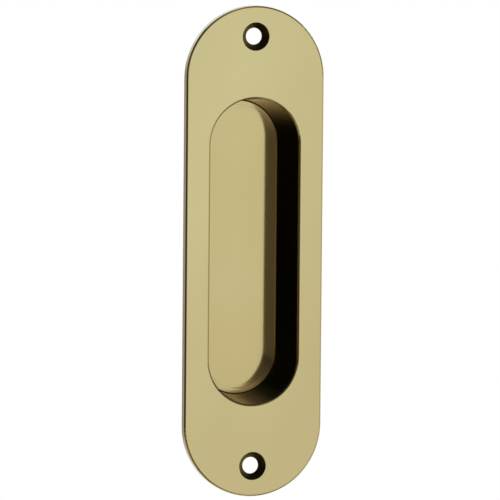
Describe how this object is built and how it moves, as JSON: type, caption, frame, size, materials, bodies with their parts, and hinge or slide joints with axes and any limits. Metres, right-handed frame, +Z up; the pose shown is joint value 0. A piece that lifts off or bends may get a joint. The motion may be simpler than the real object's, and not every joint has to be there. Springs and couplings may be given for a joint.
{
  "type": "pocket door pull",
  "caption": "Solid brass flush pull for a pocket door: a flat plate with full round ends, a deep drafted finger cup with the same round ends, and countersunk screw holes above and below it.",
  "frame": {"origin": "middle of the plate's back, half way between the two screw holes, in the plane that seats on the door", "axes": "+Z up the length of the plate, +Y into the door, so the polished face looks along -Y, +X to its right"},
  "size_m": [0.0448, 0.0188, 0.1524],
  "materials": {
    "polished_brass": "polished, unlacquered"
  },
  "bodies": {
    "root": {"pull_body": "polished_brass"}
  },
  "joints": []
}
